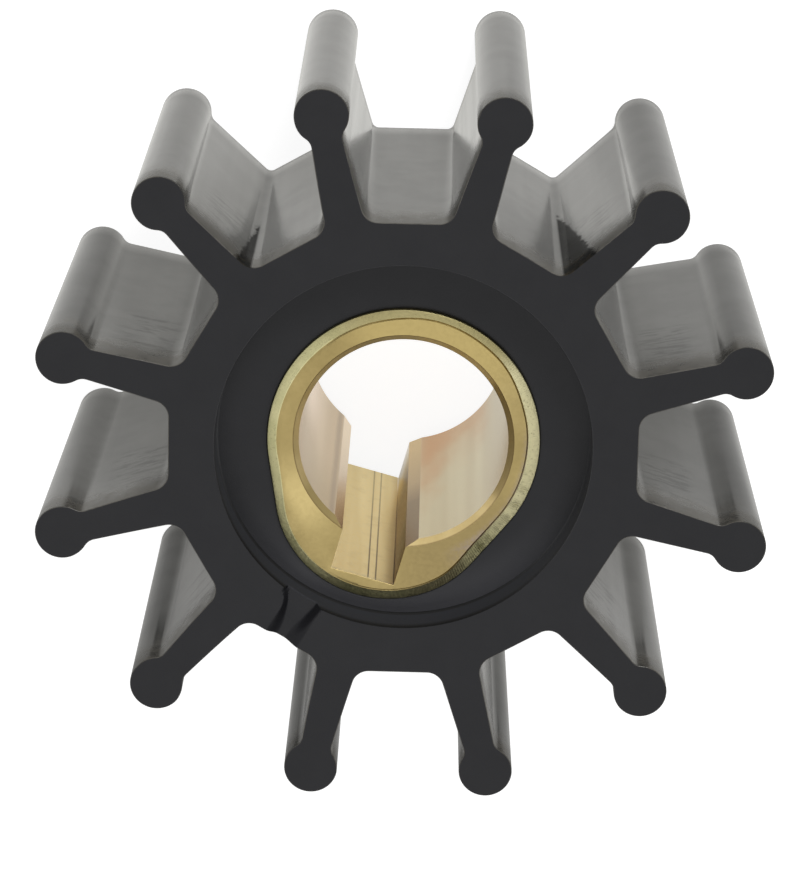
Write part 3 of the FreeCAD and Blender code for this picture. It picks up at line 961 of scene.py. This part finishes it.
def floor_material():
    """White to the camera, with the object's shadow, and with a painted glow graded for reflections."""
    material, tree, shader = new_material("floor")
    path = add(tree, "ShaderNodeLightPath")
    reflected = path.outputs["Is Glossy Ray"]
    strength = sum_of(tree, product_of(tree, direct_view(tree, path), 0.9),
                      product_of(tree, reflected, floor_glow(tree)))
    tint = mix_colour(tree, reflected, WHITE, (1.0, 0.99, 0.94))
    tree.links.new(tint, shader.inputs["Emission Color"])
    tree.links.new(strength, shader.inputs["Emission Strength"])
    shader.inputs["Base Color"].default_value = (0.35, 0.35, 0.35, 1)
    shader.inputs["Roughness"].default_value = 0.9
    shader.inputs["Specular IOR Level"].default_value = 0.0
    return material


def make_floor():
    mesh = bpy.data.meshes.new("floor")
    reach = FLOOR_REACH
    sides = ((-reach, -reach), (reach, -reach), (reach, reach), (-reach, reach))
    mesh.from_pydata([(x, y, FLOOR_LEVEL) for x, y in sides], [], [(0, 1, 2, 3)])
    mesh.materials.append(floor_material())
    floor = link(bpy.data.objects.new("floor", mesh))


def make_world():
    """White to the camera and in reflections, but there greyer overhead and towards the photo's right."""
    world = bpy.data.worlds.new("studio")
    bpy.context.scene.world = world
    world.use_nodes = True
    tree = world.node_tree
    background = tree.nodes["Background"]
    coords = add(tree, "ShaderNodeTexCoord")
    split = add(tree, "ShaderNodeSeparateXYZ", {"Vector": coords.outputs["Generated"]})
    x, y, z = (split.outputs[axis] for axis in "XYZ")
    path = add(tree, "ShaderNodeLightPath")
    sky = ramp_of(tree, z, (0.0, 0.35), (0.9, 0.5))
    level = ramp_of(tree, z, (0.2, 1.0), (0.8, 0.7))
    dim = spread_of(tree, along_of(tree, x, y, PHOTO_RIGHT), -0.3, 0.7, 1.0, 0.45)
    around = mix_colour(tree, 1.0, level, dim, "MULTIPLY")
    colour = mix_colour(tree, path.outputs["Is Glossy Ray"], sky, around)
    colour = mix_colour(tree, direct_view(tree, path), colour, WHITE)
    tree.links.new(colour, background.inputs["Color"])
    background.inputs["Strength"].default_value = 1.0


def add_lamp(name, position, size, power):
    """A round lamp that points at the object's middle."""
    lamp = bpy.data.lights.new(name, "AREA")
    lamp.shape = "DISK"
    lamp.size = size
    lamp.energy = power
    holder = link(bpy.data.objects.new(name, lamp))
    holder.location = position
    aim = Vector((0, 0, WIDTH / 2 * MM)) - Vector(position)
    holder.rotation_euler = aim.to_track_quat("-Z", "Y").to_euler()


def make_camera():
    """The photograph's camera: its turn, place and lens."""
    camera = bpy.data.cameras.new("camera")
    camera.lens = CAMERA_LENS
    camera.sensor_width = CAMERA_SENSOR
    camera.clip_start = 0.01
    camera.clip_end = 10
    turn = Matrix.Identity(3)
    for degrees, axis in zip(CAMERA_TURNS, "XYZ"):
        turn = turn @ Matrix.Rotation(math.radians(degrees), 3, axis)
    upright = Matrix.Rotation(PHOTO_RIGHT, 3, "Z")
    holder = link(bpy.data.objects.new("camera", camera))
    holder.location = (upright @ (turn.transposed() @ -CAMERA_OFFSET) + Vector((0, 0, WIDTH))) * MM
    holder.rotation_euler = (upright @ turn.transposed()).to_euler()
    bpy.context.scene.camera = holder


make_rubber()
make_brass()
make_floor()
make_world()
add_lamp("overhead", (0.07, -0.26, 0.9), 1.0, 3.0)
add_lamp("window", (0.05, 0.72, 0.5), 0.4, 5.0)
make_camera()
bpy.context.scene.view_settings.view_transform = "Standard"
